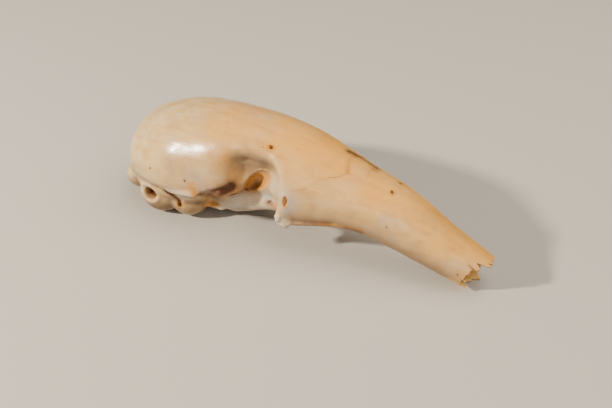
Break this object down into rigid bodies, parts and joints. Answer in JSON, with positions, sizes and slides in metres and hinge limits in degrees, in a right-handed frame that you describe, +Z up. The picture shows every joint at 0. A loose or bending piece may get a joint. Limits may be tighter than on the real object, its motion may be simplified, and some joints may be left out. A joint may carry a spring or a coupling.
{
  "type": "tamandua skull",
  "caption": "Dry hollow cranium of a small anteater: smooth domed braincase, ear bullae, open orbits and a long toothless snout broken off at its end.",
  "frame": {"origin": "on the resting plane, under the middle of the cranium's box", "axes": "+X along the snout, from the occipital condyles to the broken tip; +Y to the animal's left; +Z up as the cranium rests on its ear bullae and the lower edge of the snout"},
  "size_m": [0.1274, 0.0404, 0.0368],
  "materials": {
    "bone": "satin"
  },
  "bodies": {
    "root": {"cranium": "bone"}
  },
  "joints": []
}
